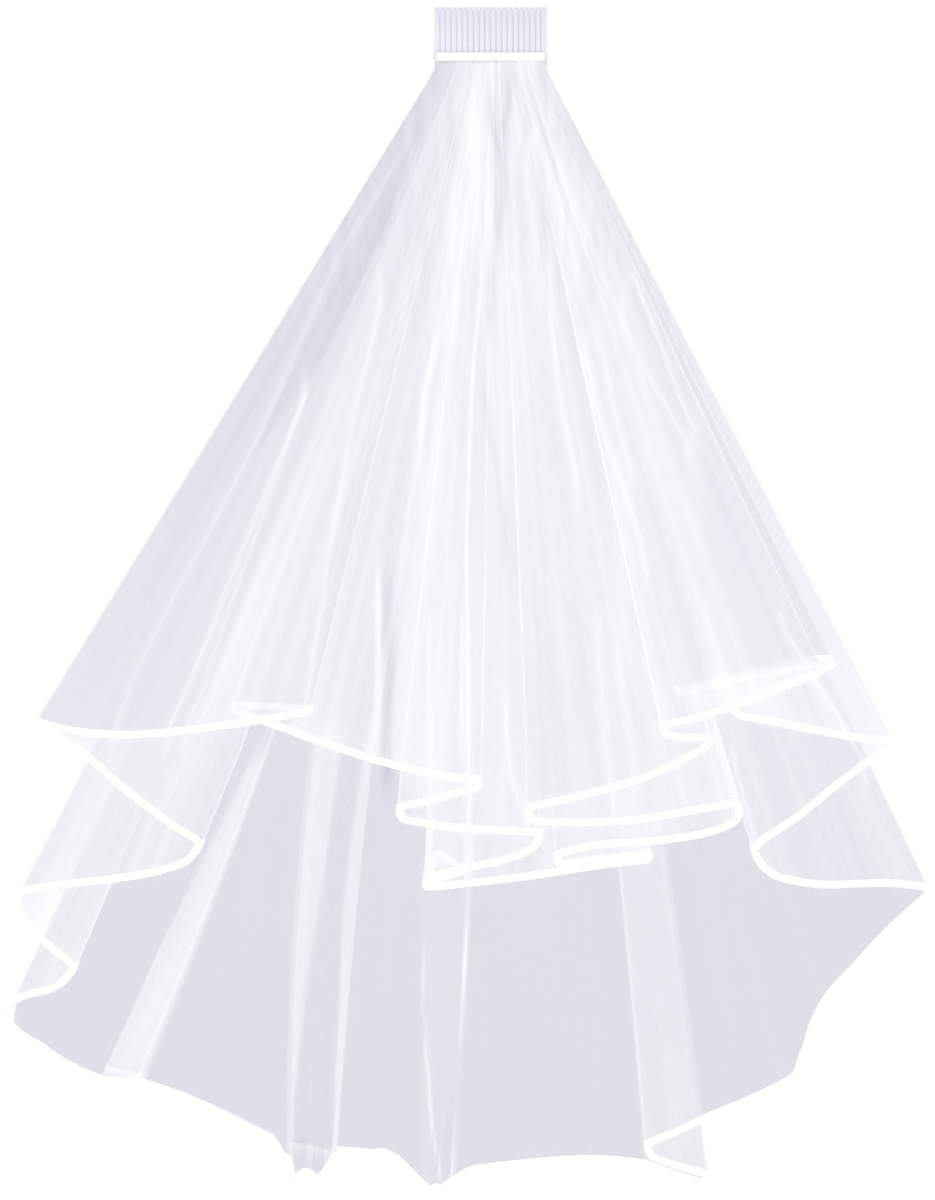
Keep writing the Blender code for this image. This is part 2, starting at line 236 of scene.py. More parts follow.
# The tulle
# One oval panel of soft white nylon net. It is folded over at the head, so it falls in two tiers
# of unequal length, and its edge runs in zigzag folds from the front tier down each side to the
# back one. Each stretch that shows is a piece: the back tier, the two side falls, the front tier.
LAYER_PITCH = 1.3
LOWEST_LEVEL = 0.5
FOLD_REACH = 0.65
DRAPE_SLOPE = 0.5
RIBBON_WIDTH = 5.2
HEAD_HALF = 37.2
HEAD_DROP = 8.0
LEFT_SPREAD = 0.614
RIGHT_SPREAD = 0.519
SHARED_DROPS = np.array([3.0, 14.0, 50.0, 120.0, 240.0, 390.0])
PRESSED = np.array([0.40, 0.45, 0.75, 1.0, 1.0, 1.0])
LEAN_FROM = 455.0
LEAN_TO = 735.0
LEAN = np.array([
    # share above, share at the hem
    (0.000, 0.000),
    (0.170, 0.170),
    (0.267, 0.227),
    (0.287, 0.257),
    (0.330, 0.388),
    (0.402, 0.423),
    (0.480, 0.490),
    (0.520, 0.510),
    (0.669, 0.655),
    (0.720, 0.700),
    (0.800, 0.800),
    (1.000, 1.000),
])

# The hem. Each row is a point where the hem turns or bends: its x from the comb's middle, its
# drop, how far the hem bows down, early and late, on its way there from the row above, and how
# round the turn is: how far the hem drops beside it on the way on, and rises on the way there.
UPPER_HEM = (
    # x, drop, early, late, round
    (-306.5, 448.2, 0.0, 0.0, -2.0),
    (-120.3, 439.5, 11.3, 8.0, -1.0),
    (-172.5, 437.5, 0.0, 0.0, 2.0),
    (-6.4, 488.4, 3.1, 5.9, 3.0),
    (-62.6, 507.9, -0.5, 0.5, 4.0),
    (33.8, 524.6, 2.0, 1.9, 4.0),
    (-41.0, 551.0, 3.8, 1.7, 0.0),
    (-34.5, 535.0, 0.0, 0.0, 0.0),
    (-18.0, 547.0, 0.0, 0.0, 0.0),
    (-44.6, 556.1, 0.0, 0.0, 1.5),
    (107.5, 536.7, 1.9, 0.7, -2.0),
    (43.2, 540.0, 0.0, 0.0, -3.0),
    (168.5, 505.2, 0.0, 5.6, -5.0),
    (23.8, 508.5, 4.9, 5.8, -4.0),
    (147.7, 459.0, 4.4, 5.7, -2.0),
    (114.9, 452.9, 1.0, 1.0, -3.0),
    (222.1, 410.7, 1.9, 1.2, -2.0),
    (124.3, 426.8, -0.8, -1.0, -1.5),
    (230.5, 406.7, -0.9, -2.3, 2.0),
    (161.8, 438.9, -0.5, 0.3, 4.0),
    (272.3, 461.6, 0.3, 1.7, 1.5),
)
RIGHT_HEM = (
    (295.1, 560.1, 0.0, 0.0, -1.5),
    (177.2, 538.0, 0.8, 5.5, -8.0),
    (272.3, 461.6, -0.8, -3.7, -1.5),
)
LEFT_HEM = (
    (-323.9, 641.2, 0.0, 0.0, -6.0),
    (-279.7, 614.4, -0.6, 2.4, -4.0),
    (-319.3, 566.8, 1.0, 0.2, -5.0),
    (-195.3, 532.6, 0.4, 3.6, -6.0),
    (-306.5, 448.2, 0.9, -4.8, -2.0),
)
LOWER_HEM = (
    (-323.9, 641.2, 0.0, 0.0, 6.0),
    (-236.8, 686.8, 7.2, 6.3, -2.0),
    (-259.6, 680.1, 0.0, 0.0, 2.0),
    (-148.4, 724.3, -11.0, -10.5, 0.0),
    (-120.3, 753.8, 18.2, 5.6, 0.0),
    (-103.5, 738.3, 4.5, 4.5, -1.0),
    (-134.3, 731.6, 0.0, 0.0, 1.0),
    (-77.4, 736.3, -1.4, -1.4, 0.0),
    (-36.5, 758.8, -2.4, 4.8, 0.0),
    (-6.4, 746.4, 4.2, 0.3, 0.0),
    (102.2, 743.0, -3.5, -4.1, 0.0),
    (146.4, 753.8, 0.0, 0.0, -4.0),
    (104.2, 733.7, 0.0, 0.0, -4.0),
    (206.7, 682.7, 2.7, 3.4, 0.0),
    (244.9, 611.0, -11.5, -9.2, 0.0),
    (295.1, 560.1, -2.2, -2.5, -1.5),
)
TURN_ASPECT = 1.6

# How the runs between two turns lie on one another, lowest first, by their order along the hem
LOWER_STACK = (4, 5, 6, 3, 2, 1, 0)
UPPER_STACK = (8, 7, 6, 5, 4, 3, 2, 1, 0, 9, 10, 11, 12, 13, 18, 17, 16, 15, 14)

# Creases that the veil keeps from its packing, and hollows between its gathers. Both raise the cloth a
# little; the creases are painted whiter and the hollows are painted shade.
TUCKS = (
    # strength, negative for painted shade, half width, then the x and drop of places down the crease
    (0.22, 2.5, ((-55, 58), (-103, 135), (-160, 263), (-236, 407), (-252, 452))),
    (0.30, 2.2, ((-124, 228), (-170, 340), (-202, 422), (-216, 450))),
    (0.22, 1.8, ((-124, 228), (-164, 340), (-193, 422), (-204, 449))),
    (0.28, 2.0, ((-73, 166), (-93, 249), (-111, 351), (-124, 438))),
    (0.45, 1.8, ((-75, 361), (-75, 403), (-75, 438), (-77, 468))),
    (-0.35, 4.0, ((-68, 363), (-68, 403), (-69, 438), (-69, 467))),
    (0.22, 2.2, ((-30, 180), (-41, 209), (-46, 228), (-46, 266))),
    (0.45, 1.5, ((-6, 149), (-12, 218), (-16, 320), (-15, 407), (-14, 540))),
    (0.28, 1.6, ((-41, 393), (-41, 478))),
    (0.28, 1.6, ((-19, 390), (-19, 450))),
    (0.32, 1.6, ((11, 442), (12, 472), (17, 491), (24, 505))),
    (0.28, 2.2, ((39, 149), (45, 228), (57, 283))),
    (0.28, 2.2, ((63, 201), (73, 244), (85, 280), (95, 307), (103, 336))),
    (0.22, 2.2, ((74, 196), (82, 237), (93, 275))),
    (0.28, 2.0, ((71, 390), (76, 442), (82, 500))),
    (0.28, 2.0, ((85, 411), (91, 446), (96, 478))),
    (0.22, 2.0, ((103, 406), (114, 438))),
    (0.35, 2.0, ((96, 149), (111, 188), (124, 223), (134, 247))),
    (0.28, 2.0, ((87, 174), (103, 209), (117, 234), (131, 258))),
    (0.30, 2.0, ((194, 381), (209, 403), (218, 419), (236, 447), (250, 472))),
    (0.28, 2.0, ((145, 379), (156, 413))),
    (0.22, 2.0, ((151, 456), (164, 498))),
    (0.22, 2.0, ((162, 469), (177, 524))),
    (-0.60, 2.6, ((12, 26), (12, 35), (9, 43))),
    (-0.38, 2.6, ((0, 44), (7, 65), (9, 86), (6, 114))),
    (-0.25, 2.6, ((0, 149), (-1, 172))),
    (-0.25, 2.4, ((-5, 228), (3, 267), (10, 323))),
    (0.16, 8.0, ((-10, 38), (-9, 114))),
    (0.30, 2.5, ((41, 46), (38, 48), (32, 50), (26, 56))),
    (0.12, 8.0, ((87, 279), (89, 397))),
    (0.15, 6.0, ((136, 253), (139, 303))),
    (0.80, 1.5, ((-45, 556), (-45, 638), (-39, 718), (-32, 755))),
    (1.00, 1.4, ((-16, 559), (-18, 631), (-21, 691), (-26, 752))),
    (0.10, 9.0, ((-30, 556), (-30, 638), (-31, 752))),
    (0.16, 1.8, ((130, 553), (144, 584), (149, 605), (154, 616))),
)
TUCK_HEIGHT = 1.2
TUCK_FADE = 18.0


def fan_sides(drop):
    spread = np.maximum(drop - HEAD_DROP, 0.0)
    return -HEAD_HALF - LEFT_SPREAD * spread, HEAD_HALF + RIGHT_SPREAD * spread


def lean_amount(drop):
    return np.clip((drop - LEAN_FROM) / (LEAN_TO - LEAN_FROM), 0.0, 1.0)


def place_x(share, drop):
    left, right = fan_sides(drop)
    moved = np.interp(share, LEAN[:, 0], LEAN[:, 1])
    return left + (right - left) * (share + (moved - share) * lean_amount(drop))


def share_at(x, drop):
    left, right = fan_sides(drop)
    lines = LEAN[:, 0] + (LEAN[:, 1] - LEAN[:, 0]) * lean_amount(drop)
    return float(np.interp((x - left) / (right - left), lines, LEAN[:, 0]))


def bow(part, early, late):
    """A cubic that is zero at both ends, early a third of the way along and late at two thirds."""
    return 13.5 * part * (1 - part) * (early * (2 / 3 - part) + late * (part - 1 / 3))


def turn_offset(apart, round_by):
    """How far a rounded turn moves the hem down, at a distance across from the turn."""
    if round_by == 0.0:
        return np.zeros_like(apart)
    part = np.minimum(np.abs(apart) / (TURN_ASPECT * abs(round_by)), 1.0)
    return round_by * np.sqrt(1 - (1 - part) ** 2)


FINE_STEPS = 330
FEWEST_STEPS = 12
TURN_CROWDING = 0.7


def hem_runs(hem):
    """Splits a hem table into runs between two folds, with the share and drop of each station."""
    turns = [share_at(row[0], row[1]) for row in hem]
    runs = []
    for row in range(1, len(hem)):
        start, end = turns[row - 1], turns[row]
        way = 1 if end > start else -1
        count = max(int(round(abs(end - start) * FINE_STEPS)), FEWEST_STEPS)
        part = np.linspace(0.0, 1.0, count + 1)
        part = part - TURN_CROWDING * np.sin(2 * pi * part) / (2 * pi)
        shares = start + (end - start) * part
        drops = hem[row - 1][1] + (hem[row][1] - hem[row - 1][1]) * part
        drops = drops + bow(part, hem[row][2], hem[row][3])
        x = place_x(shares, drops)
        drops = drops + (1 - part) * turn_offset(x - hem[row - 1][0], hem[row - 1][4])
        drops = drops - part * turn_offset(x - hem[row][0], hem[row][4])
        if runs and runs[-1]["way"] == way:
            runs[-1]["shares"] = np.append(runs[-1]["shares"], shares[1:])
            runs[-1]["drops"] = np.append(runs[-1]["drops"], drops[1:])
        else:
            runs.append({"way": way, "shares": shares, "drops": drops})
    return runs


DRAPE_STEPS = 400
SIDE_SLACK = 0.002


def stack_runs(order):
    """Lays the runs one on another, lowest first, and gives each its levels at the shared drops."""
    grid = np.linspace(0.0, 1.0, DRAPE_STEPS + 1)
    for run in order:
        run["levels"] = np.zeros((len(run["shares"]), len(SHARED_DROPS)))
    for column, drop in enumerate(SHARED_DROPS):
        left, right = fan_sides(drop)
        apart = np.abs(grid[:, None] - grid[None, :]) * (right - left)
        falloff = DRAPE_SLOPE * np.maximum(apart - 2 * FOLD_REACH, 0.0)
        free = np.zeros(len(grid))
        for run in order:
            draped = (free[None, :] - falloff).max(axis=1)
            run["levels"][:, column] = np.interp(run["shares"], grid, draped) + LOWEST_LEVEL
            from_left = grid >= run["shares"].min() - SIDE_SLACK
            from_right = grid <= run["shares"].max() + SIDE_SLACK
            under = from_left & from_right
            free[under] = draped[under] + LAYER_PITCH


lower_runs = hem_runs(LOWER_HEM)
left_runs = hem_runs(LEFT_HEM)
right_runs = hem_runs(RIGHT_HEM)
upper_runs = hem_runs(UPPER_HEM)
stack_runs(
    [lower_runs[i] for i in LOWER_STACK]
    + left_runs
    + right_runs
    + [upper_runs[i] for i in UPPER_STACK]
)


def set_ribbons(loop):
    """How far above the hem the ribbon's upper edge lies: a ribbon's width in from the hem.

    The hem is followed all the way round, as it would lie with its turns opened out.
    """
    along, down, lean = [], [], []
    for run, way in loop:
        shares, drops = run["shares"][::way], run["drops"][::way]
        steps = np.abs(place_x(shares[1:], drops[:-1]) - place_x(shares[:-1], drops[:-1]))
        start = along[-1][-1] if along else 0.0
        along.append(start + np.concatenate([[0.0], np.cumsum(steps)]))
        down.append(drops)
        lean.append(way * run["way"] * (place_x(shares, drops) - place_x(shares, drops - 1.0)))
    along, down, lean = np.concatenate(along), np.concatenate(down), np.concatenate(lean)
    around = along[-1]
    deep = np.zeros(len(along))
    for k in range(len(along)):
        over = (along - along[k] + around / 2) % around - around / 2
        near = np.abs(over) < 3 * RIBBON_WIDTH
        under = down[near] - down[k]
        across = over[near] + lean[k] * under
        a = 1 + lean[k] ** 2
        b = lean[k] * across + under
        c = across ** 2 + under ** 2 - RIBBON_WIDTH ** 2
        inside = b * b - a * c
        reach = np.where(inside >= 0.0, (np.sqrt(np.maximum(inside, 0.0)) - b) / a, 0.0)
        deep[k] = reach.max()
    start = 0
    for run, way in loop:
        count = len(run["shares"])
        run["ribbons"] = deep[start:start + count][::way].copy()
        start += count


set_ribbons(
    [(run, 1) for run in lower_runs + right_runs]
    + [(run, -1) for run in reversed(upper_runs)]
    + [(run, -1) for run in reversed(left_runs)]
)

# Soft rolls between the folds, and finer gathers that run down from the stitches at the head
ROLL_WAVES = 11
ROLL_DRIFT = 0.016
ROLL_DRIFT_WAVES = 2.3
ROLL_DRIFT_START = 0.7
ROLL_HEIGHT = 3.0
ROLL_GROWTH = 0.018
ROLL_FLAT = 0.3
GATHERS = (
    # waves, height, where they start, how far down they reach
    (31.0, 0.55, 0.4, 260.0),
    (47.0, 0.45, 1.9, 330.0),
    (74.0, 0.30, 3.1, 150.0),
)


def cloth_rise(share, drop):
    drift = ROLL_DRIFT * np.sin(2 * pi * ROLL_DRIFT_WAVES * share + ROLL_DRIFT_START)
    swell = 0.5 - 0.5 * np.cos(2 * pi * ROLL_WAVES * (share + drift))
    height = np.minimum(ROLL_HEIGHT, ROLL_GROWTH * np.maximum(drop - HEAD_DROP, 0.0))
    rise = height * np.maximum(swell - ROLL_FLAT, 0.0) / (1.0 - ROLL_FLAT)
    wander = 0.010 * np.sin(drop / 37.0 + 11.0 * share)
    for waves, high, start, reach in GATHERS:
        fade = np.clip(1.1 - drop / reach, 0.1, 1.0) * np.clip((drop - 4.0) / 25.0, 0.0, 1.0)
        uneven = 0.5 + 0.5 * np.sin(2 * pi * 5.3 * share + start + drop / 90.0)
        wave = 0.5 + 0.5 * np.sin(2 * pi * waves * (share + 0.35 * drift + wander) + start)
        rise = rise + high * fade * uneven * wave
    return rise


def tucks_at(x, drop):
    """How strongly the creases and hollows show at places on the cloth, hollows as negative, which the
    colour paints as shade.
    """
    total = np.zeros_like(x)
    for strength, half_width, places in TUCKS:
        line_x, line_drop = np.array(places, dtype=float).T
        apart = x - np.interp(drop, line_drop, line_x)
        beyond = np.maximum(np.maximum(line_drop[0] - drop, drop - line_drop[-1]), 0.0)
        total += strength * np.exp(-(apart / half_width) ** 2 - (beyond / TUCK_FADE) ** 2)
    return total


TURN_STEPS = 6


def run_line(run, pick=None):
    """The stations of a run: share, hem drop, ribbon, levels, side shift, gap to a fold, facing."""
    shares = run["shares"]
    lines = []
    for k in range(len(shares)) if pick is None else (pick % len(shares),):
        lines.append({
            "share": shares[k],
            "hem": run["drops"][k],
            "ribbon": run["ribbons"][k],
            "levels": run["levels"][k],
            "shift": 0.0,
            "from_fold": min(abs(shares[k] - shares[0]), abs(shares[k] - shares[-1])),
            "normal": (0.0, float(run["way"])),
        })
    return lines


def fold_line(before, after):
    """Stations round the half turn from one run to the next."""
    side = before["way"]
    first, last = run_line(before, -1)[0], run_line(after, 0)[0]
    upward = 1 if last["levels"][-1] > first["levels"][-1] else -1
    lines = []
    for step in range(1, TURN_STEPS):
        angle = pi * step / TURN_STEPS
        middle = (first["levels"] + last["levels"]) / 2
        half = (last["levels"] - first["levels"]) / 2
        lines.append(dict(
            first,
            ribbon=first["ribbon"] + (last["ribbon"] - first["ribbon"]) * step / TURN_STEPS,
            levels=middle - half * cos(angle),
            shift=side * FOLD_REACH * sin(angle),
            normal=(-upward * sin(angle), side * cos(angle)),
        ))
    return lines


def turned(run):
    other = {key: run[key][::-1] for key in ("shares", "drops", "ribbons", "levels")}
    other["way"] = -run["way"]
    return other


def stretch_lines(runs, before, after):
    lines = []
    if before:
        lines += run_line(before, -1) + fold_line(before, runs[0])
    for k, run in enumerate(runs):
        lines += run_line(run)
        if k < len(runs) - 1:
            lines += fold_line(run, runs[k + 1])
    if after:
        lines += fold_line(runs[-1], after) + run_line(after, 0)
    return lines


def centre_grid(lines, drops_of):
    """Points of the cloth's middle: one column a line, one row for each drop."""
    share = np.array([line["share"] for line in lines])[:, None]
    shift = np.array([line["shift"] for line in lines])[:, None]
    drops = np.array([drops_of(line) for line in lines])
    levels = np.array([
        np.interp(drops[k], SHARED_DROPS, line["levels"] * PRESSED) for k, line in enumerate(lines)
    ])
    x = place_x(share, drops) + shift
    rise = cloth_rise(share, drops) + TUCK_HEIGHT * np.abs(tucks_at(x, drops))
    return x, drops, levels + rise


TULLE_FIRST_DROP = 3.0
TULLE_ROWS = 60
ROW_CROWDING = 1.15
TULLE_UNDER_RIBBON = 1.5
CLOTH_WIDTH_AT_HEM = 620.0
NET_COVER = 0.5
HALF_TURN_COVER = 0.3
# The net's colour paints its light and shade: one layer over the floor is painted grey-lavender for the
# shade it would cast there, and stacked net is painted whiter for the light it would scatter. The next
# three numbers are how the floor looks, how one layer over it looks, and how much whiter each step of
# whiteness looks.
FLOOR_LOOK = 1.03
BACK_LOOK = 0.75
WHITE_LOOK = 0.25
LEAST_DRAW = 0.12
BACK_WHITENESS = (
    # share, how white the veil is painted there: 0 as one layer on the floor looks, in painted shade,
    # and 1 for pure white
    (0.00, 0.02),
    (1.00, 0.02),
)
LEFT_WHITENESS = (
    (0.00, 0.12),
    (0.085, 0.14),
    (0.11, 0.34),
    (0.15, 0.42),
    (0.26, 0.42),
)
RIGHT_WHITENESS = (
    (0.80, 0.36),
    (0.85, 0.34),
    (0.90, 0.24),
    (1.00, 0.26),
)
FRONT_WHITENESS = (
    (0.000, -0.10),
    (0.082, -0.08),
    (0.092, 0.02),
    (0.180, 0.08),
    (0.195, 0.40),
    (0.260, 0.44),
    (0.370, 0.44),
    (0.400, 0.56),
    (0.500, 0.62),
    (0.560, 0.48),
    (0.600, 0.42),
    (0.640, 0.50),
    (0.860, 0.52),
    (0.890, 0.42),
    (0.940, 0.34),
    (1.000, 0.22),
)

# Strips of painted light where the folds below lie thicker, so that the veil shows whiter, and of
# painted shade where they lie thinner
BACK_STRIPS = (
    # how much whiter it is painted, then the drop, left share and right share of places down the strip
    (0.50, ((457, 0.272, 0.284), (490, 0.268, 0.284), (600, 0.256, 0.284), (690, 0.256, 0.284))),
    (0.50, ((440, 0.336, 0.366), (465, 0.335, 0.366), (559, 0.334, 0.360), (709, 0.333, 0.337))),
    (0.50, ((440, 0.394, 0.402), (559, 0.387, 0.402), (709, 0.396, 0.402))),
    (0.34, ((500, 0.668, 0.717), (700, 0.667, 0.717))),
    (0.10, ((540, 0.474, 0.523), (650, 0.474, 0.523), (750, 0.478, 0.500))),
)
FRONT_STRIPS = (
    (-0.22, ((30, 0.09, 0.12), (73, 0.09, 0.135), (110, 0.09, 0.17), (200, 0.09, 0.15),
             (300, 0.11, 0.08))),
    (0.07, ((-20, 0.30, 0.86), (120, 0.34, 0.84), (230, 0.50, 0.60), (330, 0.57, 0.53))),
    (0.36, ((400, 0.93, 0.96), (415, 0.845, 0.93), (428, 0.765, 0.87), (440, 0.80, 0.78))),
)
STRIP_EDGE = 2.0
STRIP_START = 15.0


def tulle_drops(line):
    end = line["hem"] - TULLE_UNDER_RIBBON
    part = np.linspace(0.0, 1.0, TULLE_ROWS) ** ROW_CROWDING
    return TULLE_FIRST_DROP + (end - TULLE_FIRST_DROP) * part


def strips_at(strips, share, drop, width):
    """How much whiter the strips paint the cloth, which fade a little at both sides."""
    total = np.zeros_like(drop)
    for strength, places in strips:
        down, left, right = np.array(places, dtype=float).T
        from_left = share - np.interp(drop, down, left)
        from_right = np.interp(drop, down, right) - share
        inside = np.minimum(from_left, from_right)
        reach = np.clip((drop - down[0]) / STRIP_START, 0.0, 1.0)
        total += strength * reach * np.clip(inside * width / STRIP_EDGE + 0.5, 0.0, 1.0)
    return total


def layers_at(runs, share, drop):
    """How many of the runs lie on one another at a place."""
    count = np.zeros_like(drop)
    for run in runs:
        way = run["way"]
        hem = np.interp(share, run["shares"][::way], run["drops"][::way], left=0.0, right=0.0)
        count += hem > drop
    return np.maximum(count, 1.0)


def make_tulle(name, runs, whiteness, strips, below, before=None, after=None):
    lines = stretch_lines(runs, before, after)
    x, drops, z = centre_grid(lines, tulle_drops)
    columns, rows = x.shape
    verts = [(x[c, r], -drops[c, r], z[c, r]) for c in range(columns) for r in range(rows)]
    faces = []
    for c in range(columns - 1):
        for r in range(rows - 1):
            a = c * rows + r
            faces.append((a, a + 1, a + rows + 1, a + rows))
    piece = link_mesh(name, verts, faces)
    share = np.array([line["share"] for line in lines])[:, None] + np.zeros_like(drops)
    left, right = fan_sides(drops)
    width = right - left
    from_fold = np.array([line["from_fold"] for line in lines])[:, None] * width
    half_turn = np.array([line["shift"] != 0.0 for line in lines])[:, None]
    cover = 1 - (1 - NET_COVER) ** np.maximum(CLOTH_WIDTH_AT_HEM / width, 1.0)
    all_cover = 1 - (1 - cover) ** layers_at(runs, share, drops)
    # The base colour is set so that the net, laid over what lies below it, comes out at its painted
    # look: painted shade for one layer, painted light where more lie stacked
    white = np.interp(share, *np.array(whiteness).T) + strips_at(strips, share, drops, width)
    painted_light_tone = (BACK_LOOK + WHITE_LOOK * white - (1 - all_cover) * below) / all_cover
    add_number(piece, "fold_gap", from_fold)
    add_number(piece, "cover", np.where(half_turn, HALF_TURN_COVER * cover, cover))
    add_number(piece, "painted_light_tone", painted_light_tone)
    # Painted light along the creases and painted shade along the hollows, which also thicken the net
    add_number(piece, "crease_shading_and_cover", tucks_at(x, drops) * WHITE_LOOK / all_cover)
    add_number(piece, "draw", (LEAST_DRAW + white) * WHITE_LOOK / all_cover)
    along = np.concatenate([[0.0], np.cumsum(np.abs(np.diff(share[:, 0])))])
    uv = piece.data.uv_layers.new(name="cloth")
    corner = np.zeros(len(piece.data.loops), dtype=np.int32)
    piece.data.loops.foreach_get("vertex_index", corner)
    u = (along[:, None] * CLOTH_WIDTH_AT_HEM * MM + np.zeros_like(drops)).ravel()[corner]
    v = (drops * MM).ravel()[corner]
    uv.data.foreach_set("uv", np.stack([u, v], axis=1).ravel())
    # The net casts no shadow and bounced light passes by it; its painted colour stands in for both
    piece.visible_shadow = False
    piece.visible_diffuse = False
    return piece


back_tier = make_tulle("back_tier_tulle", lower_runs, BACK_WHITENESS, BACK_STRIPS, FLOOR_LOOK)
left_fall = make_tulle(
    "left_fall_tulle", left_runs, LEFT_WHITENESS, (), BACK_LOOK, before=turned(lower_runs[0])
)
right_fall = make_tulle(
    "right_fall_tulle", right_runs, RIGHT_WHITENESS, (), BACK_LOOK, before=lower_runs[-1]
)
front_tier = make_tulle(
    "front_tier_tulle", upper_runs, FRONT_WHITENESS, FRONT_STRIPS, BACK_LOOK,
    before=left_runs[-1], after=turned(right_runs[-1]),
)

tulle_net, nodes, links, shader = new_material("soft_white_tulle")


def maths(operation, first, second=None, clamp=False):
    node = nodes.new("ShaderNodeMath")
    node.operation = operation
    node.use_clamp = clamp
    for socket, value in ((0, first), (1, second)):
        if value is None:
            continue
        if isinstance(value, (int, float)):
            node.inputs[socket].default_value = value
        else:
            links.new(value, node.inputs[socket])
    return node.outputs[0]


def number(name):
    node = nodes.new("ShaderNodeAttribute")
    node.attribute_name = name
    return node.outputs["Fac"]


def ranged(value, low, high, to_low, to_high):
    node = nodes.new("ShaderNodeMapRange")
    node.interpolation_type = "SMOOTHSTEP"
    links.new(value, node.inputs["Value"])
    node.inputs["From Min"].default_value = low
    node.inputs["From Max"].default_value = high
    node.inputs["To Min"].default_value = to_low
    node.inputs["To Max"].default_value = to_high
    return node.outputs["Result"]


def streaks(vector, across, along, detail, offset):
    """Noise drawn out down the cloth, as gathers are."""
    spread = nodes.new("ShaderNodeMapping")
    spread.inputs["Scale"].default_value = (across, along, 0.0)
    spread.inputs["Location"].default_value = (offset, 0.0, 0.0)
    noise = nodes.new("ShaderNodeTexNoise")
    noise.inputs["Scale"].default_value = 1.0
    noise.inputs["Detail"].default_value = detail
    links.new(vector, spread.inputs["Vector"])
    links.new(spread.outputs["Vector"], noise.inputs["Vector"])
    return noise.outputs["Fac"]


cloth_uv = nodes.new("ShaderNodeUVMap")
cloth_uv.uv_map = "cloth"
cloth_uv = cloth_uv.outputs["UV"]
room = nodes.new("ShaderNodeTexCoord").outputs["Object"]
# Painted light and shade in the net's colour: streaks whiter and greyer down the gathers, which also
# thicken and thin the net, light and shade of the bulges at the head, and whiter lines along the folds
broad = ranged(streaks(cloth_uv, 24.0, 2.4, 2.0, 3.0), 0.35, 0.68, -0.20, 0.22)
narrow = ranged(streaks(cloth_uv, 95.0, 3.0, 2.0, 9.0), 0.40, 0.75, -0.08, 0.20)
painted_lump_shade = ranged(streaks(room, 150.0, 17.0, 2.0, 5.0), 0.35, 0.68, -0.03, 0.02)
head = ranged(number("cover"), 0.68, 0.93, 0.0, 1.0)
fade = maths("SUBTRACT", 1.0, head)
painted_fold_light = maths("MULTIPLY", ranged(number("fold_gap"), 0.0, 2.2, 0.10, 0.0), fade)
drawn = maths("MULTIPLY", maths("ADD", broad, narrow), number("draw"))
white = maths("ADD", number("painted_light_tone"), drawn)
white = maths("ADD", white, maths("MULTIPLY", painted_lump_shade, head))
white = maths("ADD", white, maths("ADD", painted_fold_light, number("crease_shading_and_cover")))
net = nodes.new("ShaderNodeTexVoronoi")
net.feature = "DISTANCE_TO_EDGE"
net.inputs["Scale"].default_value = 1050.0
net.inputs["Randomness"].default_value = 0.9
links.new(cloth_uv, net.inputs["Vector"])
thread = ranged(net.outputs["Distance"], 0.05, 0.25, 1.06, 0.96)
cover = maths("ADD", number("cover"), maths("MULTIPLY", drawn, 0.5))
cover = maths("ADD", cover, maths("ABSOLUTE", number("crease_shading_and_cover")))
links.new(maths("MULTIPLY", cover, thread, clamp=True), shader.inputs["Alpha"])
# Colours from grey-lavender, painted shade where one layer lies over the floor, to white, painted light
# where net lies stacked
painted_light_tone = nodes.new("ShaderNodeValToRGB")
painted_light_tone.color_ramp.elements[0].position = 0.4
painted_light_tone.color_ramp.elements[0].color = (0.355, 0.35, 0.46, 1)
painted_light_tone.color_ramp.elements[1].position = 1.0
painted_light_tone.color_ramp.elements[1].color = (0.91, 0.905, 0.925, 1)
middle = painted_light_tone.color_ramp.elements.new(0.75)
middle.color = (0.675, 0.67, 0.73, 1)
links.new(white, painted_light_tone.inputs["Fac"])
links.new(painted_light_tone.outputs["Color"], shader.inputs["Base Color"])
shader.inputs["Roughness"].default_value = 0.75
shader.inputs["Sheen Weight"].default_value = 0.1
shader.inputs["Specular IOR Level"].default_value = 0.15

for cloth, node in (
    (back_tier, "lower_tier"),
    (left_fall, "left_fall"),
    (right_fall, "right_fall"),
    (front_tier, "upper_tier"),
):
    cloth.data.materials.append(tulle_net)
    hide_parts(node)
    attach(cloth, "root")

# The ribbon edging
# White satin ribbon, 5 mm wide, folded over the tulle's cut edge. It goes round the whole panel,
# and each stretch of it that shows is a piece.
RIBBON_HALF_THICK = 0.42
RIBBON_SECTION = (
    # part of the width down from the upper edge, part of the thickness
    (0.00, 0.45),
    (0.08, 0.95),
    (0.50, 1.00),
    (0.92, 0.95),
    (1.00, 0.45),
)


def ribbon_drops(line):
    return [line["hem"] - line["ribbon"] * (1 - part) for part, thick in RIBBON_SECTION]


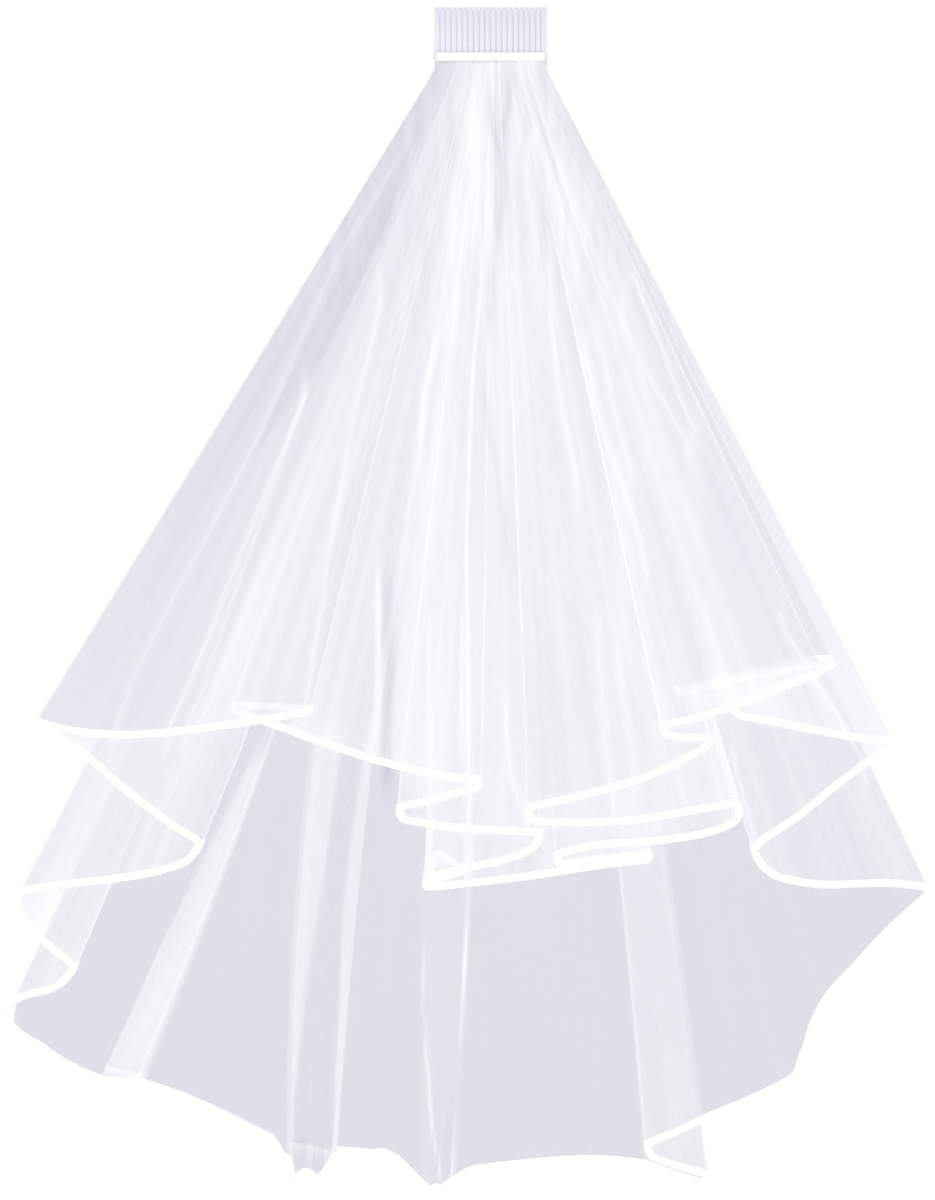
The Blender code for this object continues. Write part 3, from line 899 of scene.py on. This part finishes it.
def make_ribbon(name, runs, before=None, after=None):
    lines = stretch_lines(runs, before, after)
    x, drops, z = centre_grid(lines, ribbon_drops)
    rows = len(RIBBON_SECTION)
    verts = []
    for c, line in enumerate(lines):
        across, up = line["normal"]
        for side in (1, -1):
            for r in range(rows):
                thick = side * RIBBON_HALF_THICK * RIBBON_SECTION[r][1]
                verts.append((x[c, r] + across * thick, -drops[c, r], z[c, r] + up * thick))
    ring = list(range(rows)) + list(reversed(range(rows, 2 * rows)))
    faces = []
    for c in range(len(lines) - 1):
        for k in range(len(ring)):
            a, b = ring[k], ring[(k + 1) % len(ring)]
            here, there = c * 2 * rows, (c + 1) * 2 * rows
            faces.append((here + a, here + b, there + b, there + a))
    faces.append(tuple(reversed(ring)))
    faces.append(tuple((len(lines) - 1) * 2 * rows + k for k in ring))
    piece = link_mesh(name, verts, faces)
    edge = piece.data.uv_layers.new(name="ribbon")
    middle = np.stack([x[:, 2], drops[:, 2]], axis=1)
    along = np.concatenate([[0.0], np.cumsum(np.hypot(*np.diff(middle, axis=0).T))])
    corner = np.zeros(len(piece.data.loops), dtype=np.int32)
    piece.data.loops.foreach_get("vertex_index", corner)
    u = np.repeat(along, 2 * rows)[corner] * MM
    parts = np.array([part for part, thick in RIBBON_SECTION] * 2)
    v = np.tile(parts, len(lines))[corner] * RIBBON_WIDTH * MM
    edge.data.foreach_set("uv", np.stack([u, v], axis=1).ravel())
    return piece


satin, nodes, links, shader = new_material("white_satin_ribbon")
ribbon_uv = nodes.new("ShaderNodeUVMap")
ribbon_uv.uv_map = "ribbon"
ribs = nodes.new("ShaderNodeTexWave")
ribs.bands_direction = "X"
ribs.inputs["Scale"].default_value = 900.0
ribs.inputs["Distortion"].default_value = 0.6
cloud = nodes.new("ShaderNodeTexNoise")
cloud.inputs["Scale"].default_value = 90.0
links.new(ribbon_uv.outputs["UV"], ribs.inputs["Vector"])
links.new(ribbon_uv.outputs["UV"], cloud.inputs["Vector"])
ribbon_white = nodes.new("ShaderNodeValToRGB")
ribbon_white.color_ramp.elements[0].color = (0.96, 0.96, 0.97, 1)
ribbon_white.color_ramp.elements[1].color = (1.0, 1.0, 1.0, 1)
links.new(cloud.outputs["Fac"], ribbon_white.inputs["Fac"])
links.new(ribbon_white.outputs["Color"], shader.inputs["Base Color"])
gloss = ranged(cloud.outputs["Fac"], 0.3, 0.7, 0.30, 0.42)
links.new(gloss, shader.inputs["Roughness"])
weave = nodes.new("ShaderNodeBump")
weave.inputs["Strength"].default_value = 0.25
weave.inputs["Distance"].default_value = 0.00008
links.new(ribs.outputs["Fac"], weave.inputs["Height"])
links.new(weave.outputs["Normal"], shader.inputs["Normal"])
shader.inputs["Sheen Weight"].default_value = 0.25

RIBBON_STRETCHES = (
    # name, CAD node, runs, run before, run after
    ("back_tier_ribbon", "lower_ribbon", lower_runs, None, None),
    ("left_fall_ribbon", "left_ribbon", left_runs, turned(lower_runs[0]), None),
    ("right_fall_ribbon", "right_ribbon", right_runs, lower_runs[-1], None),
    ("front_tier_ribbon", "upper_ribbon", upper_runs, left_runs[-1], turned(right_runs[-1])),
)
for name, node, runs, before, after in RIBBON_STRETCHES:
    edging = make_ribbon(name, runs, before, after)
    edging.data.materials.append(satin)
    edging.visible_shadow = False
    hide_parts(node)
    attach(edging, "root")

# The stitches along the ribbon
# Small straight stitches of white thread hold the ribbon to the tulle, in a row just inside the
# ribbon's upper edge, on the side of it that lies uppermost.
STITCH_SPACING = 2.6
STITCH_LENGTH = 1.7
THREAD_WIDTH = 0.26
THREAD_RISE = 0.039
STITCH_UNEVENNESS = 0.25
SEW_IN = 0.9

thread_white, nodes, links, shader = new_material("white_sewing_thread")
room = nodes.new("ShaderNodeTexCoord")
ply = nodes.new("ShaderNodeTexWave")
ply.bands_direction = "DIAGONAL"
ply.inputs["Scale"].default_value = 1400.0
thread_tone = nodes.new("ShaderNodeValToRGB")
thread_tone.color_ramp.elements[0].color = (0.86, 0.86, 0.89, 1)
thread_tone.color_ramp.elements[1].color = (0.96, 0.96, 0.97, 1)
links.new(room.outputs["Object"], ply.inputs["Vector"])
links.new(ply.outputs["Fac"], thread_tone.inputs["Fac"])
links.new(thread_tone.outputs["Color"], shader.inputs["Base Color"])
shader.inputs["Roughness"].default_value = 0.5


def stitch_tree():
    """A Geometry Nodes tree that lays stitches along every line of the mesh that it is given."""
    tree = bpy.data.node_groups.new("stitches_along_a_line", "GeometryNodeTree")
    sockets = {}
    for label, kind in (
        ("Line", "Geometry"),
        ("Spacing", "Float"),
        ("Stitch length", "Float"),
        ("Thread width", "Float"),
        ("Unevenness", "Float"),
        ("Seed", "Int"),
        ("Thread", "Material"),
    ):
        sockets[label] = tree.interface.new_socket(
            label, in_out="INPUT", socket_type="NodeSocket" + kind
        )
    tree.interface.new_socket("Stitches", in_out="OUTPUT", socket_type="NodeSocketGeometry")
    entry = tree.nodes.new("NodeGroupInput")
    leave = tree.nodes.new("NodeGroupOutput")
    curve = tree.nodes.new("GeometryNodeMeshToCurve")
    spaced = tree.nodes.new("GeometryNodeCurveToPoints")
    spaced.mode = "LENGTH"
    facing = tree.nodes.new("FunctionNodeAlignRotationToVector")
    facing.axis = "Z"
    bead = tree.nodes.new("GeometryNodeMeshUVSphere")
    bead.inputs["Segments"].default_value = 6
    bead.inputs["Rings"].default_value = 4
    bead.inputs["Radius"].default_value = 0.5
    size = tree.nodes.new("ShaderNodeCombineXYZ")
    vary = tree.nodes.new("FunctionNodeRandomValue")
    shorter = tree.nodes.new("ShaderNodeMath")
    shorter.operation = "SUBTRACT"
    shorter.inputs[0].default_value = 1.0
    length = tree.nodes.new("ShaderNodeMath")
    length.operation = "MULTIPLY"
    placed = tree.nodes.new("GeometryNodeInstanceOnPoints")
    real = tree.nodes.new("GeometryNodeRealizeInstances")
    dressed = tree.nodes.new("GeometryNodeSetMaterial")
    join = tree.links.new
    join(entry.outputs["Line"], curve.inputs["Mesh"])
    join(curve.outputs["Curve"], spaced.inputs["Curve"])
    join(entry.outputs["Spacing"], spaced.inputs["Length"])
    join(spaced.outputs["Tangent"], facing.inputs["Vector"])
    join(entry.outputs["Unevenness"], shorter.inputs[1])
    join(shorter.outputs[0], vary.inputs[2])
    join(entry.outputs["Seed"], vary.inputs["Seed"])
    join(vary.outputs[1], length.inputs[0])
    join(entry.outputs["Stitch length"], length.inputs[1])
    join(entry.outputs["Thread width"], size.inputs["X"])
    join(entry.outputs["Thread width"], size.inputs["Y"])
    join(length.outputs[0], size.inputs["Z"])
    join(spaced.outputs["Points"], placed.inputs["Points"])
    join(bead.outputs["Mesh"], placed.inputs["Instance"])
    join(facing.outputs["Rotation"], placed.inputs["Rotation"])
    join(size.outputs["Vector"], placed.inputs["Scale"])
    join(placed.outputs["Instances"], real.inputs["Geometry"])
    join(real.outputs["Geometry"], dressed.inputs["Geometry"])
    join(entry.outputs["Thread"], dressed.inputs["Material"])
    join(dressed.outputs["Geometry"], leave.inputs["Stitches"])
    return tree, {label: socket.identifier for label, socket in sockets.items()}


stitches_along, stitch_inputs = stitch_tree()


def sew(name, lines, spacing, length, thread, uneven, seed):
    """Sews stitches along lines of points, and gives them as a plain mesh."""
    verts, edges = [], []
    for line in lines:
        start = len(verts)
        verts += [tuple(point) for point in line]
        edges += [(start + k, start + k + 1) for k in range(len(line) - 1)]
    guide_mesh = bpy.data.meshes.new(name + "_line")
    guide_mesh.from_pydata(room_places(verts), edges, [])
    guide = bpy.data.objects.new(name + "_line", guide_mesh)
    bpy.context.scene.collection.objects.link(guide)
    sewing = guide.modifiers.new("sewing", "NODES")
    sewing.node_group = stitches_along
    sewing[stitch_inputs["Spacing"]] = spacing * MM
    sewing[stitch_inputs["Stitch length"]] = length * MM
    sewing[stitch_inputs["Thread width"]] = thread * MM
    sewing[stitch_inputs["Unevenness"]] = uneven
    sewing[stitch_inputs["Seed"]] = seed
    sewing[stitch_inputs["Thread"]] = thread_white
    sewn = guide.evaluated_get(bpy.context.evaluated_depsgraph_get())
    shape = bpy.data.meshes.new_from_object(sewn)
    bpy.data.objects.remove(guide, do_unlink=True)
    shape.name = name
    return link_piece(name, shape)


def sewing_lines(runs):
    """A line of places down each run, just inside the ribbon's upper edge and on top of it."""
    found = []
    for run in runs:
        lines = run_line(run)
        x, drops, z = centre_grid(lines, lambda line: [line["hem"] - line["ribbon"] + SEW_IN])
        top = z[:, 0] + RIBBON_HALF_THICK + THREAD_RISE
        found.append(list(zip(x[1:-1, 0], -drops[1:-1, 0], top[1:-1])))
    return found


for seed, (name, node, runs, before, after) in enumerate(RIBBON_STRETCHES):
    stitches = sew(
        name.replace("ribbon", "stitches"), sewing_lines(runs),
        STITCH_SPACING, STITCH_LENGTH, THREAD_WIDTH, STITCH_UNEVENNESS, seed,
    )
    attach(stitches, "root")

# The band over the gathers
# A strip of the same satin, folded over the gathered edge, a little puckered by the thread that
# whips it to the comb's spine. The whipping crosses it once between each two teeth.
BAND_WIDTH = 72.5
BAND_DEPTH = 5.4
BAND_LOW = 2.7
BAND_HIGH = 7.7
BAND_ROUND = 1.6
PUCKER_HEIGHT = 0.035
WHIP_THREAD = 0.34
WHIP_SPACING = 0.7
WHIP_STITCH = 1.3
WHIP_CLEAR = 0.1
WHIP_REACH = 1.5
band = link_mesh(
    "gather_band_satin",
    *rounded_bar(
        BAND_WIDTH, BAND_DEPTH, BAND_LOW, BAND_HIGH, BAND_ROUND, TOOTH_COUNT - 1, PUCKER_HEIGHT
    ),
)
band_satin, nodes, links, shader = new_material("white_satin_band")
room = nodes.new("ShaderNodeTexCoord")
ribs = nodes.new("ShaderNodeTexWave")
ribs.bands_direction = "Y"
ribs.inputs["Scale"].default_value = 700.0
ribs.inputs["Distortion"].default_value = 0.8
cloud = nodes.new("ShaderNodeTexNoise")
cloud.inputs["Scale"].default_value = 160.0
band_white = nodes.new("ShaderNodeValToRGB")
band_white.color_ramp.elements[0].color = (0.97, 0.97, 0.98, 1)
band_white.color_ramp.elements[1].color = (1.0, 1.0, 1.0, 1)
weave = nodes.new("ShaderNodeBump")
weave.inputs["Strength"].default_value = 0.2
weave.inputs["Distance"].default_value = 0.00008
links.new(room.outputs["Object"], ribs.inputs["Vector"])
links.new(room.outputs["Object"], cloud.inputs["Vector"])
links.new(cloud.outputs["Fac"], band_white.inputs["Fac"])
links.new(band_white.outputs["Color"], shader.inputs["Base Color"])
links.new(ribs.outputs["Fac"], weave.inputs["Height"])
links.new(weave.outputs["Normal"], shader.inputs["Normal"])
links.new(ranged(cloud.outputs["Fac"], 0.3, 0.7, 0.32, 0.45), shader.inputs["Roughness"])
shader.inputs["Sheen Weight"].default_value = 0.25
band.data.materials.append(band_satin)
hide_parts("gather_band")
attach(band, "root")

whip_lines = []
front = -BAND_DEPTH / 2 - WHIP_CLEAR
back = BAND_DEPTH / 2 + WHIP_CLEAR
for gap in range(TOOTH_COUNT - 1):
    x = FIRST_TOOTH + TOOTH_PITCH * (gap + 0.5)
    whip_lines.append([
        (x - 0.5, front, BAND_LOW),
        (x - 0.4, front, BAND_HIGH - WHIP_REACH),
        (x - 0.2, front + WHIP_REACH * 0.4, BAND_HIGH - WHIP_REACH * 0.3),
        (x, 0.0, BAND_HIGH + WHIP_CLEAR),
        (x + 0.1, back - WHIP_REACH * 0.4, BAND_HIGH - WHIP_REACH * 0.3),
        (x + 0.1, back, BAND_HIGH - WHIP_REACH),
        (x, back, COMB_THICK * 0.6),
    ])
whipping = sew("comb_whipping", whip_lines, WHIP_SPACING, WHIP_STITCH, WHIP_THREAD, 0.0, 9)
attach(whipping, "root")

# The floor, the light and the camera
# A white floor under broad, even light, seen from straight above, as the veil is shown.
FLOOR_HALF = 6.0
FLOOR_GAP = 0.0004
floor_mesh = bpy.data.meshes.new("floor")
floor_corners = [(x * FLOOR_HALF, y * FLOOR_HALF, 0) for x, y in ((-1, -1), (1, -1), (1, 1), (-1, 1))]
floor_mesh.from_pydata(floor_corners, [], [(0, 1, 2, 3)])
floor = bpy.data.objects.new("floor", floor_mesh)
bpy.context.scene.collection.objects.link(floor)
floor.location.z = cad_box[0][2] - FLOOR_GAP
floor_paint, nodes, links, shader = new_material("white_floor")
shader.inputs["Base Color"].default_value = (0.93, 0.93, 0.94, 1)
shader.inputs["Roughness"].default_value = 0.9
floor_mesh.materials.append(floor_paint)

world = bpy.data.worlds.new("studio")
bpy.context.scene.world = world
world.use_nodes = True
world.node_tree.nodes["Background"].inputs["Color"].default_value = (0.98, 0.98, 1.0, 1)
world.node_tree.nodes["Background"].inputs["Strength"].default_value = 0.82

for name, place, size, power in (
    ("key", (-1.2, 1.4, 2.6), 2.2, 28.0),
    ("fill", (1.6, -0.8, 2.4), 2.6, 16.0),
):
    lamp = bpy.data.lights.new(name, "AREA")
    lamp.size = size
    lamp.energy = power
    light = bpy.data.objects.new(name, lamp)
    bpy.context.scene.collection.objects.link(light)
    light.location = place
    away = light.location.normalized()
    light.rotation_euler = away.to_track_quat("Z", "Y").to_euler()

PHOTO_WIDTH_PX = 935
PHOTO_HEIGHT_PX = 1200
MM_PER_PX = 0.67
COMB_PX = 490.5
SEAM_PX = 58.0
LENS = 100.0
SENSOR = 36.0
camera_data = bpy.data.cameras.new("camera")
camera_data.lens = LENS
camera_data.sensor_width = SENSOR
camera_data.sensor_fit = "VERTICAL"
camera_data.sensor_height = SENSOR
camera = bpy.data.objects.new("camera", camera_data)
bpy.context.scene.collection.objects.link(camera)
view_height = PHOTO_HEIGHT_PX * MM_PER_PX * MM
camera.location = (
    (COMB_X + (PHOTO_WIDTH_PX / 2 - COMB_PX) * MM_PER_PX) * MM,
    (SEAM_Y - (PHOTO_HEIGHT_PX / 2 - SEAM_PX) * MM_PER_PX) * MM,
    view_height * LENS / SENSOR,
)
bpy.context.scene.camera = camera
bpy.context.scene.view_settings.view_transform = "Standard"
bpy.context.scene.cycles.transparent_max_bounces = 48
